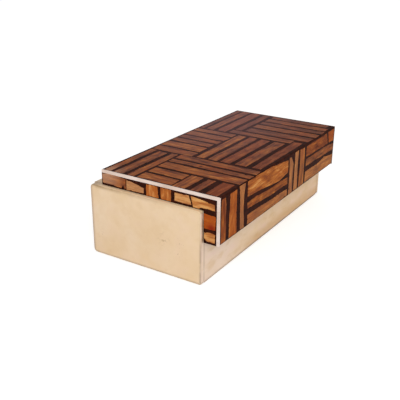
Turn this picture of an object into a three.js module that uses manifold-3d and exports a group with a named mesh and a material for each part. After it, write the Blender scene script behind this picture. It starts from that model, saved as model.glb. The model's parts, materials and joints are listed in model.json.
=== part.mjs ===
// A small keepsake box: a parchment-covered base under a hinged lid in palm-wood marquetry. The lid is
// L-shaped, a slab with a lip that hangs over the front. It is set in from the back, which leaves a
// strip of the back wall's rim bare for two brass butt hinges, and it opens just past upright.
// Millimetres, +Z up, front towards -Y, origin at the centre of the base's underside.
import * as THREE from "three";
import { mergeVertices } from "three/addons/utils/BufferGeometryUtils.js";
import Module from "manifold-3d";

const wasm = await Module();
wasm.setup();

// Driving dimensions
const BASE_LENGTH = 214;
const BASE_DEPTH = 100;
const RIM_HEIGHT = 57.6;
const WALL_THICKNESS = 12;
const END_LAP = 5;
const FLOOR_THICKNESS = 7;
const CORNER = 3.2;
const FRONT_FOOT_CORNER = 1;
const PARCHMENT = 0.6;
const FELT = 0.8;
const FELT_MARGIN = 1.5;
const SUEDE = 1;
const SUEDE_SETBACK = 0.6;
const BACK_STRIP = 9.6;
const LID_THICKNESS = 12;
const LID_INSET = 3;
const LIP_THICKNESS = 12.85;
const LIP_DROP = 24.7;
const LIP_CORNER = 2.5;
const LIP_FOOT_STEP = 0.8;
const LIP_GAP = 0.35;
const CLOSING_GAP = 0.3;
const MARQUETRY = 1.4;
const END_MARQUETRY = 0.7;
const STRING_WIDTH = 2.4;
const LINING_MARGIN = 1.2;
const HINGE_SPREAD = 62;
const HINGE_LENGTH = 24;
const LEAF_WIDTH = 6.8;
const LEAF_THICKNESS = 1;
const KNUCKLE_RADIUS = 1.6;
const KNUCKLE_GAP = 0.3;
const KNUCKLE_CLEARANCE = 0.2;
const PIN_RADIUS = 0.7;
const PIN_CLEARANCE = 0.1;
const SCREW_SPREAD = 8;
const SCREW_FROM_AXIS = 4.6;
const SCREW_LENGTH = 6.5;
const SCREW_RADIUS = 0.75;
const SCREW_HEAD_RADIUS = 1.5;
const SCREW_CLEARANCE = 0.12;

// Planes of the base that several pieces share
const outerX = BASE_LENGTH / 2;
const outerY = BASE_DEPTH / 2;
const boardX = outerX - PARCHMENT;
const boardY = outerY - PARCHMENT;
const lapX = outerX - END_LAP;
const innerX = outerX - WALL_THICKNESS;
const innerY = outerY - WALL_THICKNESS;
const wallTop = RIM_HEIGHT - PARCHMENT;
const floorTop = FELT + FLOOR_THICKNESS;
const liningTop = wallTop - SUEDE_SETBACK;

// Planes of the closed lid
const lidX = outerX - LID_INSET;
const lidBack = outerY - BACK_STRIP;
const lipInner = -outerY - LIP_GAP;
const lidFront = lipInner - LIP_THICKNESS;
const lidBottom = RIM_HEIGHT + CLOSING_GAP;
const lidTop = lidBottom + LID_THICKNESS;
const lipBottom = lidBottom - LIP_DROP;
const lipFoot = lipBottom + LIP_FOOT_STEP;
const coreX = lidX - END_MARQUETRY;
const coreFront = lidFront + MARQUETRY;
const coreBack = lidBack - MARQUETRY;
const coreTop = lidTop - MARQUETRY;
const stringBack = lidFront + STRING_WIDTH;
const stringBottom = lidTop - STRING_WIDTH;

// The hinge axis stands off the rim and the lid's back edge by the same distance
const axisOffset = KNUCKLE_RADIUS + KNUCKLE_CLEARANCE;
const axisY = lidBack + axisOffset;
const axisZ = RIM_HEIGHT + axisOffset;

const finishes = {
  parchment: { color: 0xe4ccae, roughness: 0.5, metalness: 0 },
  boardWood: { color: 0xc9a878, roughness: 0.75, metalness: 0 },
  suede: { color: 0x2e2420, roughness: 0.95, metalness: 0 },
  felt: { color: 0x27211f, roughness: 1, metalness: 0 },
  marquetry: { color: 0x6d3f28, roughness: 0.15, metalness: 0 },
  bone: { color: 0xe6d8cb, roughness: 0.3, metalness: 0 },
  blackLacquer: { color: 0x17110f, roughness: 0.3, metalness: 0 },
  brass: { color: 0xb08d4c, roughness: 0.35, metalness: 1 },
};

const box = new THREE.Group();
const base = new THREE.Group();
const lid = new THREE.Group();
box.add(base, lid);

function addPiece(group, name, finish, geometry) {
  const mesh = new THREE.Mesh(geometry, new THREE.MeshStandardMaterial(finishes[finish]));
  mesh.name = name;
  group.add(mesh);
}

// A plain board: the unit box's corners take the low or the high value on each axis.
function board(x, y, z) {
  const geometry = new THREE.BoxGeometry(1, 1, 1);
  const corners = geometry.getAttribute("position");
  for (let i = 0; i < corners.count; i++) {
    const cornerX = corners.getX(i) < 0 ? x[0] : x[1];
    const cornerY = corners.getY(i) < 0 ? y[0] : y[1];
    const cornerZ = corners.getZ(i) < 0 ? z[0] : z[1];
    corners.setXYZ(i, cornerX, cornerY, cornerZ);
  }
  return geometry;
}

// An outline in the YZ plane carried along X, between x[0] and x[1].
function alongX(outline, x) {
  const geometry = new THREE.ExtrudeGeometry(outline, { depth: 1, bevelEnabled: false, curveSegments: 5 });
  const corners = geometry.getAttribute("position");
  for (let i = 0; i < corners.count; i++) {
    corners.setXYZ(i, corners.getZ(i) > 0.5 ? x[1] : x[0], corners.getX(i), corners.getY(i));
  }
  return geometry;
}

function polygon(...points) {
  return new THREE.Shape(points.map(([y, z]) => new THREE.Vector2(y, z)));
}

// The outline of an end of the base, smaller by the inset: round corners, all but the front foot.
function endOutline(inset) {
  const front = inset - outerY;
  const back = outerY - inset;
  const bottom = inset;
  const top = RIM_HEIGHT - inset;
  const corner = CORNER - inset;
  const foot = Math.max(FRONT_FOOT_CORNER - inset, 0);
  const shape = new THREE.Shape();
  shape.moveTo(front + foot, bottom);
  shape.lineTo(back - corner, bottom);
  shape.absarc(back - corner, bottom + corner, corner, -Math.PI / 2, 0, false);
  shape.lineTo(back, top - corner);
  shape.absarc(back - corner, top - corner, corner, 0, Math.PI / 2, false);
  shape.lineTo(front + corner, top);
  shape.absarc(front + corner, top - corner, corner, Math.PI / 2, Math.PI, false);
  shape.lineTo(front, bottom + foot);
  if (foot > 0) shape.absarc(front + foot, bottom + foot, foot, Math.PI, Math.PI * 1.5, false);
  return shape;
}

// The section of the lip up from the given foot, and from its rounded inner edge out to the given front.
function lipOutline(front, foot) {
  const shape = new THREE.Shape();
  shape.moveTo(front, foot);
  shape.lineTo(lipInner - LIP_CORNER, foot);
  shape.absarc(lipInner - LIP_CORNER, foot + LIP_CORNER, LIP_CORNER, -Math.PI / 2, 0, false);
  shape.lineTo(lipInner, lidBottom);
  shape.lineTo(front, lidBottom);
  return shape;
}

function toSolid(geometry) {
  geometry.deleteAttribute("normal");
  geometry.deleteAttribute("uv");
  const merged = mergeVertices(geometry);
  const vertProperties = merged.getAttribute("position").array;
  const triVerts = new Uint32Array(merged.index.array);
  return new wasm.Manifold(new wasm.Mesh({ numProp: 3, vertProperties, triVerts }));
}

function toGeometry(solid) {
  const mesh = solid.getMesh();
  const geometry = new THREE.BufferGeometry();
  geometry.setAttribute("position", new THREE.BufferAttribute(mesh.vertProperties, 3));
  geometry.setIndex(new THREE.BufferAttribute(mesh.triVerts, 1));
  return geometry;
}

// A round bar along X.
function rod(radius, x) {
  const geometry = new THREE.CylinderGeometry(radius, radius, x[1] - x[0], 16);
  return geometry.rotateZ(Math.PI / 2).translate((x[0] + x[1]) / 2, 0, 0);
}

// A countersunk screw, or the hole for one where it is given a clearance. Its head's flat face is at
// the origin, and it points down. The hole's mouth stands above the face so that it cuts clean.
function screwShape(clearance) {
  const head = SCREW_HEAD_RADIUS + clearance;
  const shank = SCREW_RADIUS + clearance;
  const depth = LEAF_THICKNESS - KNUCKLE_CLEARANCE / 2;
  const profile = [
    new THREE.Vector2(0, -SCREW_LENGTH - clearance),
    new THREE.Vector2(shank, -SCREW_LENGTH + SCREW_RADIUS - clearance),
    new THREE.Vector2(shank, -depth),
    new THREE.Vector2(head, 0),
  ];
  if (clearance > 0) profile.push(new THREE.Vector2(head, 1));
  profile.push(new THREE.Vector2(0, clearance > 0 ? 1 : 0));
  return new THREE.LatheGeometry(profile, 12).rotateX(Math.PI / 2);
}

// One leaf of a butt hinge, drawn flat in the XY plane with its axis along X through the origin, and
// then put in place. Its plate lies between two heights, cut back round the other leaf's knuckles.
function leafSolid(ownKnuckles, otherKnuckles, heights, place) {
  const half = HINGE_LENGTH / 2;
  let leaf = toSolid(place(board([-half, half], [0, LEAF_WIDTH], heights)));
  for (const x of ownKnuckles) leaf = leaf.add(toSolid(place(rod(KNUCKLE_RADIUS, x))));
  for (const [x0, x1] of otherKnuckles) {
    const room = board([x0 - KNUCKLE_GAP, x1 + KNUCKLE_GAP], [-3 * KNUCKLE_RADIUS, axisOffset],
      [-2 * KNUCKLE_RADIUS, 2 * KNUCKLE_RADIUS]);
    leaf = leaf.subtract(toSolid(place(room)));
  }
  const bore = rod(PIN_RADIUS + PIN_CLEARANCE, [-HINGE_LENGTH, HINGE_LENGTH]);
  return leaf.subtract(toSolid(place(bore)));
}

// Base: the floor board, and the long walls between the ends
addPiece(base, "base_felt", "felt",
  board([-lapX, lapX], [FELT_MARGIN - outerY, outerY - FELT_MARGIN], [0, FELT]));
addPiece(base, "floor_board", "boardWood", board([-lapX, lapX], [-boardY, boardY], [FELT, floorTop]));
addPiece(base, "front_wall", "boardWood", board([-lapX, lapX], [-boardY, -innerY], [floorTop, wallTop]));
let backWall = toSolid(board([-lapX, lapX], [innerY, boardY], [floorTop, wallTop]));

// Parchment sheets on the long sides, each folded over the rim
const frontFold = polygon([-outerY, 0], [-boardY, 0], [-boardY, wallTop], [-innerY, wallTop],
  [-innerY, RIM_HEIGHT], [-outerY, RIM_HEIGHT]);
const backFold = polygon([boardY, 0], [outerY, 0], [outerY, RIM_HEIGHT], [innerY, RIM_HEIGHT],
  [innerY, wallTop], [boardY, wallTop]);
addPiece(base, "front_parchment", "parchment", alongX(frontFold, [-lapX, lapX]));
let backParchment = toSolid(alongX(backFold, [-lapX, lapX]));

// Suede on the long walls and on the floor
addPiece(base, "front_lining", "suede",
  board([-innerX, innerX], [-innerY, SUEDE - innerY], [floorTop, liningTop]));
addPiece(base, "back_lining", "suede",
  board([-innerX, innerX], [innerY - SUEDE, innerY], [floorTop, liningTop]));
addPiece(base, "floor_lining", "suede",
  board([SUEDE - innerX, innerX - SUEDE], [SUEDE - innerY, innerY - SUEDE], [floorTop, floorTop + SUEDE]));

// Lid: a slab, and a lip glued under its front edge
let lidBoard = toSolid(board([-coreX, coreX], [coreFront, coreBack], [lidBottom, coreTop]));
let backEdge = toSolid(board([-coreX, coreX], [coreBack, lidBack], [lidBottom, coreTop]));
addPiece(lid, "lip_board", "blackLacquer", alongX(lipOutline(coreFront, lipFoot), [-coreX, coreX]));
const liningX = innerX - SUEDE - LINING_MARGIN;
const liningY = innerY - SUEDE - LINING_MARGIN;
addPiece(lid, "lid_lining", "suede",
  board([-liningX, liningX], [-liningY, liningY], [lidBottom - SUEDE, lidBottom]));
addPiece(lid, "top_marquetry", "marquetry", board([-coreX, coreX], [lidFront, lidBack], [coreTop, lidTop]));
addPiece(lid, "lip_marquetry", "marquetry",
  board([-coreX, coreX], [lidFront, coreFront], [lipFoot, coreTop]));

const topString = polygon([lidFront, lidTop], [stringBack, stringBottom], [lidBack, stringBottom],
  [lidBack, lidTop]);
const frontString = polygon([lidFront, lipBottom], [stringBack, lipBottom], [stringBack, stringBottom],
  [lidFront, lidTop]);

// Left and right alike: an end of the base, an end of the lid, and a hinge
for (const [end, side] of [["left", -1], ["right", 1]]) {
  const between = (near, far) => (side < 0 ? [-far, -near] : [near, far]);

  // The end wall laps the ends of the long walls, and wears a parchment cover over its outer part
  const lapped = toSolid(alongX(endOutline(PARCHMENT), between(lapX, boardX)));
  const housed = toSolid(board(between(innerX, lapX + 1), [-innerY, innerY], [floorTop, wallTop]));
  addPiece(base, end + "_end_wall", "boardWood", toGeometry(lapped.add(housed)));
  const cover = toSolid(alongX(endOutline(0), between(lapX, outerX)));
  const pocket = toSolid(alongX(endOutline(PARCHMENT), between(lapX - 1, boardX)));
  addPiece(base, end + "_end_parchment", "parchment", toGeometry(cover.subtract(pocket)));
  addPiece(base, end + "_rim_parchment", "parchment",
    board(between(innerX, lapX), [-innerY, innerY], [wallTop, RIM_HEIGHT]));
  addPiece(base, end + "_lining", "suede",
    board(between(innerX - SUEDE, innerX), [SUEDE - innerY, innerY - SUEDE], [floorTop, liningTop]));

  // Marquetry on the slab's and the lip's end, edged with mitred bone stringing. On the lip it stands a
  // little below the lip's own foot.
  const sheet = between(coreX, lidX);
  addPiece(lid, end + "_slab_marquetry", "marquetry",
    board(sheet, [stringBack, lidBack], [lidBottom, stringBottom]));
  addPiece(lid, end + "_lip_marquetry", "marquetry", alongX(lipOutline(stringBack, lipBottom), sheet));
  addPiece(lid, end + "_top_string", "bone", alongX(topString, sheet));
  addPiece(lid, end + "_front_string", "bone", alongX(frontString, sheet));

  // The hinge: its base leaf lies on the rim, and its lid leaf stands on the lid's back edge
  const hingeX = side * HINGE_SPREAD;
  const half = HINGE_LENGTH / 2;
  const third = HINGE_LENGTH / 6;
  const outerKnuckles = [[-half, -third - KNUCKLE_GAP / 2], [third + KNUCKLE_GAP / 2, half]];
  const middleKnuckle = [[KNUCKLE_GAP / 2 - third, third - KNUCKLE_GAP / 2]];
  const lowPlate = [-axisOffset, LEAF_THICKNESS - axisOffset];
  const highPlate = [axisOffset - LEAF_THICKNESS, axisOffset];
  const ontoRim = (geometry) => geometry.translate(hingeX, axisY, axisZ);
  const ontoEdge = (geometry) => geometry.rotateX(Math.PI / 2).translate(hingeX, axisY, axisZ);
  let baseLeaf = leafSolid(outerKnuckles, middleKnuckle, lowPlate, ontoRim);
  let lidLeaf = leafSolid(middleKnuckle, outerKnuckles, highPlate, ontoEdge);

  for (const [index, offset] of [-SCREW_SPREAD, SCREW_SPREAD].entries()) {
    const x = hingeX + offset;
    const rimFace = RIM_HEIGHT + LEAF_THICKNESS;
    const baseHole = toSolid(screwShape(SCREW_CLEARANCE).translate(x, axisY + SCREW_FROM_AXIS, rimFace));
    baseLeaf = baseLeaf.subtract(baseHole);
    backParchment = backParchment.subtract(baseHole);
    backWall = backWall.subtract(baseHole);
    addPiece(base, end + "_hinge_base_screw_" + (index + 1), "brass",
      screwShape(0).translate(x, axisY + SCREW_FROM_AXIS, rimFace));

    const edgeFace = lidBack + LEAF_THICKNESS;
    const intoLid = (geometry) => geometry.rotateX(-Math.PI / 2).translate(x, edgeFace, axisZ + SCREW_FROM_AXIS);
    const lidHole = toSolid(intoLid(screwShape(SCREW_CLEARANCE)));
    lidLeaf = lidLeaf.subtract(lidHole);
    backEdge = backEdge.subtract(lidHole);
    lidBoard = lidBoard.subtract(lidHole);
    addPiece(lid, end + "_hinge_lid_screw_" + (index + 1), "brass", intoLid(screwShape(0)));
  }
  addPiece(base, end + "_hinge_base_leaf", "brass", toGeometry(baseLeaf));
  addPiece(lid, end + "_hinge_lid_leaf", "brass", toGeometry(lidLeaf));
  addPiece(base, end + "_hinge_pin", "brass",
    rod(PIN_RADIUS, [hingeX - half, hingeX + half]).translate(0, axisY, axisZ));
}

// The pieces that the hinge screws go into, now drilled
addPiece(base, "back_wall", "boardWood", toGeometry(backWall));
addPiece(base, "back_parchment", "parchment", toGeometry(backParchment));
addPiece(lid, "lid_board", "blackLacquer", toGeometry(lidBoard));
addPiece(lid, "back_edge_marquetry", "marquetry", toGeometry(backEdge));

export default box;
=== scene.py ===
"""A keepsake box: parchment over boards, under a hinged lid in palm-wood marquetry with bone stringing."""
import json
import math
import random
import bpy
from mathutils import Matrix, Vector, noise


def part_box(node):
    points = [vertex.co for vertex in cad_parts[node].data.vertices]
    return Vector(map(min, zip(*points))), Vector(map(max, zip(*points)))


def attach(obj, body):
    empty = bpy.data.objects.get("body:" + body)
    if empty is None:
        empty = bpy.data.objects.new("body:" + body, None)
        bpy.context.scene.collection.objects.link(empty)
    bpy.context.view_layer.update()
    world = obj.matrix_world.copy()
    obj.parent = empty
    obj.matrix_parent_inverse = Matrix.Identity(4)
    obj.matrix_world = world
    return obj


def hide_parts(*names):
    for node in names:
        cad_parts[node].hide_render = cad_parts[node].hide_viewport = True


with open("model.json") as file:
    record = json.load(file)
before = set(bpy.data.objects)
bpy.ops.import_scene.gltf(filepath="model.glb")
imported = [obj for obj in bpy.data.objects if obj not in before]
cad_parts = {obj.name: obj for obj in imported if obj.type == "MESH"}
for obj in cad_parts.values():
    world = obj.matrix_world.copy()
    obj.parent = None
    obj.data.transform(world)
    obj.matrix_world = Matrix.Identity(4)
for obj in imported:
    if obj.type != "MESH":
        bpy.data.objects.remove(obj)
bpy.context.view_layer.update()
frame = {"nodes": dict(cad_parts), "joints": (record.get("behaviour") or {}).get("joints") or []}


# The boards of the box: plain pale hardwood, planed and glued up. The parchment and the linings hide
# nearly all of them, and a line of bare wood shows round the felt when the box is turned over.
MM = 0.001


def paint(red, green, blue):
    """A colour as a painter writes it, 0 to 255, turned into a shader's linear values."""
    values = []
    for part in (red, green, blue):
        share = part / 255
        values.append(share / 12.92 if share <= 0.04045 else ((share + 0.055) / 1.055) ** 2.4)
    return (*values, 1)


def new_material(name, roughness):
    """A material, its node tree and its one shader."""
    material = bpy.data.materials.new(name)
    material.use_nodes = True
    tree = material.node_tree
    shader = tree.nodes["Principled BSDF"]
    shader.inputs["Roughness"].default_value = roughness
    return material, tree, shader


def placed(tree, source="Object"):
    """Where a point of the piece lies: its place on the object, or its place on the strip."""
    return tree.nodes.new("ShaderNodeTexCoord").outputs[source]


def stretched(tree, place, scale):
    mapping = tree.nodes.new("ShaderNodeMapping")
    mapping.inputs["Scale"].default_value = scale
    tree.links.new(place, mapping.inputs["Vector"])
    return mapping.outputs["Vector"]


def cloud(tree, place, scale, detail=4, distortion=0):
    """Soft noise, from 0 to 1, with about as many blotches to a metre as its scale."""
    texture = tree.nodes.new("ShaderNodeTexNoise")
    texture.inputs["Scale"].default_value = scale
    texture.inputs["Detail"].default_value = detail
    texture.inputs["Distortion"].default_value = distortion
    tree.links.new(place, texture.inputs["Vector"])
    return texture.outputs["Fac"]


def graded(tree, value, *stops):
    """A colour for each value: each stop is a place from 0 to 1 and its colour."""
    shades = tree.nodes.new("ShaderNodeValToRGB")
    elements = shades.color_ramp.elements
    while len(elements) < len(stops):
        elements.new(1)
    for element, (position, colour) in zip(elements, stops):
        element.position = position
        element.color = colour
    tree.links.new(value, shades.inputs["Fac"])
    return shades.outputs["Color"]


def between(tree, value, low, high):
    """0 where the value is low, 1 where it is high, and smooth in between."""
    limits = tree.nodes.new("ShaderNodeMapRange")
    limits.interpolation_type = "SMOOTHSTEP"
    limits.inputs["From Min"].default_value = low
    limits.inputs["From Max"].default_value = high
    tree.links.new(value, limits.inputs["Value"])
    return limits.outputs["Result"]


def sums(tree, operation, first, second=0.0):
    """One step of arithmetic on numbers or on other nodes' values."""
    step = tree.nodes.new("ShaderNodeMath")
    step.operation = operation
    for socket, value in zip(step.inputs, (first, second)):
        if isinstance(value, (int, float)):
            socket.default_value = value
        else:
            tree.links.new(value, socket)
    return step.outputs["Value"]


def times(tree, *factors):
    """The product of the factors, which are numbers or other nodes' values."""
    product = factors[0]
    for factor in factors[1:]:
        product = sums(tree, "MULTIPLY", product, factor)
    return product


def tinted(tree, shade, colour, *amounts):
    """The shade with a colour laid over it, in the product of the amounts, each from 0 to 1."""
    mixer = tree.nodes.new("ShaderNodeMix")
    mixer.data_type = "RGBA"
    # Its sockets for colours are inputs 6 and 7 and output 2
    tree.links.new(times(tree, *amounts), mixer.inputs[0])
    tree.links.new(shade, mixer.inputs[6])
    mixer.inputs[7].default_value = colour
    return mixer.outputs[2]


def surfaced(tree, shader, shade, height, depth):
    """Gives a shader its shade, and a surface that rises and falls by about the depth, in metres."""
    tree.links.new(shade, shader.inputs["Base Color"])
    bump = tree.nodes.new("ShaderNodeBump")
    bump.inputs["Strength"].default_value = 1
    bump.inputs["Distance"].default_value = depth
    tree.links.new(height, bump.inputs["Height"])
    tree.links.new(bump.outputs["Normal"], shader.inputs["Normal"])


def bare_wood(name, across):
    """Planed hardwood whose grain runs along X, or across the box along Y."""
    material, tree, shader = new_material(name, 0.62)
    squeeze = (60, 6, 60) if across else (6, 60, 60)
    grain = cloud(tree, stretched(tree, placed(tree), squeeze), 9, 6, 0.6)
    pores = cloud(tree, stretched(tree, placed(tree), [30 * part for part in squeeze]), 1, 3)
    shade = graded(tree, grain, (0.3, paint(176, 141, 98)), (0.5, paint(198, 165, 120)),
                   (0.72, paint(210, 180, 138)))
    shade = tinted(tree, shade, paint(150, 116, 78), between(tree, pores, 0.58, 0.7))
    surfaced(tree, shader, shade, pores, 0.04 * MM)
    return material


wood_along = bare_wood("bare_wood_along", False)
wood_across = bare_wood("bare_wood_across", True)
board_finishes = {"floor_board": wood_along, "front_wall": wood_along, "back_wall": wood_along,
                  "left_end_wall": wood_across, "right_end_wall": wood_across}
for board_name, board_finish in board_finishes.items():
    for held in frame["nodes"][board_name].material_slots:
        held.material = board_finish


# Felt under the floor board, which keeps the box from scratching a table. It is cut by hand from a
# sheet 0.8 mm thick, so that its edges waver a little, and glued on.
def take(*pieces):
    """Selects these pieces and no others, with the first as the active one."""
    bpy.ops.object.select_all(action="DESELECT")
    for piece in pieces:
        piece.select_set(True)
    bpy.context.view_layer.objects.active = pieces[0]


def add_block(name, low, high):
    """A block between two corners. Its object stays at the origin."""
    bpy.ops.object.select_all(action="DESELECT")
    bpy.ops.mesh.primitive_cube_add(size=1)
    piece = bpy.context.object
    piece.name = name
    bpy.ops.object.mode_set(mode="EDIT")
    bpy.ops.transform.resize(value=Vector(high) - Vector(low))
    bpy.ops.transform.translate(value=(Vector(low) + Vector(high)) / 2)
    bpy.ops.object.mode_set(mode="OBJECT")
    return piece


def pick(piece, kind, wanted):
    """Puts the piece in edit mode with only the wanted faces or edges selected. A face is judged by its
    centre and its normal, and an edge by its two ends."""
    if bpy.context.mode != "OBJECT":
        bpy.ops.object.mode_set(mode="OBJECT")
    take(piece)
    bpy.ops.object.mode_set(mode="EDIT")
    bpy.ops.mesh.select_mode(type=kind)
    bpy.ops.mesh.select_all(action="DESELECT")
    bpy.ops.object.mode_set(mode="OBJECT")
    points = piece.data.vertices
    if kind == "FACE":
        for face in piece.data.polygons:
            face.select = wanted(face.center, face.normal)
    else:
        for edge in piece.data.edges:
            edge.select = wanted(points[edge.vertices[0]].co, points[edge.vertices[1]].co)
    bpy.ops.object.mode_set(mode="EDIT")


def finish_modifier(piece, kind, **settings):
    """Adds a modifier and applies it."""
    take(piece)
    modifier = piece.modifiers.new(kind.lower(), kind)
    for setting, value in settings.items():
        setattr(modifier, setting, value)
    bpy.ops.object.modifier_apply(modifier=modifier.name)


def wear_material(piece, material):
    """Gives the piece one material all over."""
    piece.data.materials.clear()
    piece.data.materials.append(material)


felt_material, tree, shader = new_material("felt", 0.95)
felt_fibres = cloud(tree, placed(tree), 1400, 6, 1.5)
felt_shade = graded(tree, felt_fibres, (0.35, paint(36, 31, 29)), (0.65, paint(62, 55, 51)))
shader.inputs["Sheen Weight"].default_value = 0.25
surfaced(tree, shader, felt_shade, felt_fibres, 0.2 * MM)

FELT_WAVER = 0.6 * MM
FELT_WAVES = 35
# The noise that shapes this edge and the strips' edges is seeded, so that they are the same each run
noise.seed_set(8)
felt_low, felt_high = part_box("base_felt")
felt = add_block("felt", felt_low, felt_high)
bpy.ops.object.mode_set(mode="EDIT")
bpy.ops.mesh.subdivide(number_cuts=24)
bpy.ops.object.mode_set(mode="OBJECT")
for vertex in felt.data.vertices:
    shift = noise.noise_vector(vertex.co * FELT_WAVES) * FELT_WAVER
    vertex.co.x += shift.x
    vertex.co.y += shift.y
finish_modifier(felt, "BEVEL", width=0.25 * MM, segments=2, limit_method="ANGLE")
wear_material(felt, felt_material)
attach(felt, "base")
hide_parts("base_felt")


# The parchment end covers. Each end board is wrapped in one piece of goatskin, glued wet and left to
# shrink tight, which rounds its corners, all but the front foot. It ends 5 mm in, at a butt seam.
end_low, end_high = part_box("left_end_parchment")
BASE_END = -end_low.x
BASE_SIDE = end_high.y
RIM = end_high.z
SEAM = -end_high.x
SKIN = 0.6 * MM
UPPER_CORNER = 3.2 * MM
FOOT_CORNER = 1 * MM
NEAR = 0.1 * MM
FACING = 0.99


def coordinates(tree, place):
    """The three coordinates of a place."""
    axes = tree.nodes.new("ShaderNodeSeparateXYZ")
    tree.links.new(place, axes.inputs["Vector"])
    return axes.outputs


def near_plane(tree, coordinate, plane, width):
    """1 on a plane and on its mirror image, falling to 0 at the width from them."""
    gap = sums(tree, "ABSOLUTE", sums(tree, "SUBTRACT", sums(tree, "ABSOLUTE", coordinate), plane))
    return sums(tree, "MAXIMUM", sums(tree, "SUBTRACT", 1.0, sums(tree, "DIVIDE", gap, width)), 0.0)


def near_point(tree, place, point, reach):
    """1 at a point, falling to 0 at the reach from it."""
    measure = tree.nodes.new("ShaderNodeVectorMath")
    measure.operation = "DISTANCE"
    tree.links.new(place, measure.inputs[0])
    measure.inputs[1].default_value = point
    return between(tree, measure.outputs["Value"], reach, 0)


parchment, tree, shader = new_material("parchment", 0.5)
place = placed(tree)
skin_x, skin_y, skin_z = coordinates(tree, place)
cloudy = cloud(tree, place, 26, 5, 0.8)
mottle = cloud(tree, place, 170, 5, 0.4)
pores = cloud(tree, place, 1500, 3)
skin_shade = graded(tree, cloudy, (0.3, paint(226, 196, 156)), (0.5, paint(230, 201, 165)),
                    (0.7, paint(232, 206, 174)))
skin_shade = tinted(tree, skin_shade, paint(220, 188, 150), between(tree, mottle, 0.42, 0.75), 0.3)
# Darker and yellower towards the right end, and painted light makes the long sides paler and pinker at the
# left end
to_right = between(tree, skin_x, -100 * MM, 120 * MM)
skin_shade = tinted(tree, skin_shade, paint(214, 166, 112), to_right, 0.5)
on_side = between(tree, sums(tree, "ABSOLUTE", skin_y), BASE_SIDE - 0.8 * MM, BASE_SIDE - 0.3 * MM)
painted_light_to_left = between(tree, skin_x, -20 * MM, -85 * MM)
skin_shade = tinted(tree, skin_shade, paint(236, 214, 208), painted_light_to_left, on_side, 0.35)
# Small yellow and pink blotches, stronger on the long sides
blotches = cloud(tree, stretched(tree, place, (50, 120, 120)), 1, 3, 0.1)
blotched = sums(tree, "ADD", times(tree, on_side, 0.3), 0.12)
skin_shade = tinted(tree, skin_shade, paint(208, 168, 108), between(tree, blotches, 0.5, 0.68), blotched)
skin_shade = tinted(tree, skin_shade, paint(232, 200, 184), between(tree, blotches, 0.5, 0.32), blotched)
# Yellow-brown stains, which gather towards the right end and the foot
gathering = sums(tree, "SUBTRACT", times(tree, skin_x, 0.9), times(tree, skin_z, 1.4))
stain = sums(tree, "ADD", cloud(tree, place, 38, 6, 1.4), gathering)
skin_shade = tinted(tree, skin_shade, paint(198, 162, 104), between(tree, stain, 0.5, 0.8), 0.35)
# Follicles: tiny dots, in a few loose clusters
clusters = between(tree, cloud(tree, place, 60, 2), 0.6, 0.72)
dots = between(tree, cloud(tree, place, 900, 2), 0.6, 0.7)
skin_shade = tinted(tree, skin_shade, paint(164, 128, 82), clusters, dots, 0.5)
# A soft yellow-brown stain along the top of the left end, stronger towards the back
on_left_end = between(tree, skin_x, 0.4 * MM - BASE_END, 0.1 * MM - BASE_END)
by_top = between(tree, skin_z, 54 * MM, RIM)
to_back = between(tree, skin_y, -60 * MM, 50 * MM)
broken = between(tree, cloud(tree, place, 75, 4), 0.2, 0.6)
skin_shade = tinted(tree, skin_shade, paint(160, 128, 84), on_left_end, by_top, to_back, broken, 0.9)
# A brown stain on the rim at the left end's back corner
by_corner = near_point(tree, place, (-BASE_END, BASE_SIDE, RIM), 15 * MM)
on_rim = between(tree, skin_z, RIM - 1.3 * MM, RIM - 0.2 * MM)
skin_shade = tinted(tree, skin_shade, paint(132, 104, 74), by_corner, on_rim, 0.8)
# A faint yellow cloud in the middle of the left end
in_middle = near_point(tree, place, (-BASE_END, -8 * MM, 26 * MM), 34 * MM)
skin_shade = tinted(tree, skin_shade, paint(212, 176, 120), in_middle, 0.25)
# The lower part is browner, all but the left end
by_foot = between(tree, skin_z, 13 * MM, 3 * MM)
past_left = between(tree, skin_x, -55 * MM, -15 * MM)
broken = between(tree, cloud(tree, place, 60, 5), -0.1, 0.55)
skin_shade = tinted(tree, skin_shade, paint(190, 140, 78), by_foot, past_left, broken, 0.55)
# A few brown specks on the left end
by_specks = near_point(tree, place, (-BASE_END, -17.6 * MM, 28 * MM), 8 * MM)
specks = between(tree, cloud(tree, place, 420, 2), 0.53, 0.66)
skin_shade = tinted(tree, skin_shade, paint(150, 112, 66), by_specks, specks, 0.4)
# The arrises, where two faces meet, are darker: handling has darkened them, less so the upright ones near
# the rim, and along the foot the darkening is partly painted shade. Dirt lies in the butt seams
near_x = near_plane(tree, skin_x, BASE_END, 1.4 * MM)
near_y = near_plane(tree, skin_y, BASE_SIDE, 1.8 * MM)
near_foot = near_plane(tree, skin_z, 0, 2.2 * MM)
handled = sums(tree, "ADD", times(tree, between(tree, skin_z, 38 * MM, 28 * MM), 0.75), 0.4)
upright_arris = times(tree, sums(tree, "MINIMUM", near_x, near_y), handled)
arris = sums(tree, "MAXIMUM", upright_arris, sums(tree, "MINIMUM", near_y, near_foot))
arris = sums(tree, "MAXIMUM", arris, sums(tree, "MINIMUM", near_x, near_foot))
seam_dirt = near_plane(tree, skin_x, SEAM + 0.5 * MM, 1.6 * MM)
arris = sums(tree, "MAXIMUM", arris, times(tree, seam_dirt, 0.6))
broken = between(tree, cloud(tree, place, 130, 4), 0.1, 0.55)
to_right = between(tree, skin_x, -320 * MM, 20 * MM)
skin_shade = tinted(tree, skin_shade, paint(122, 94, 66), arris, broken, to_right, 0.85)
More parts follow.
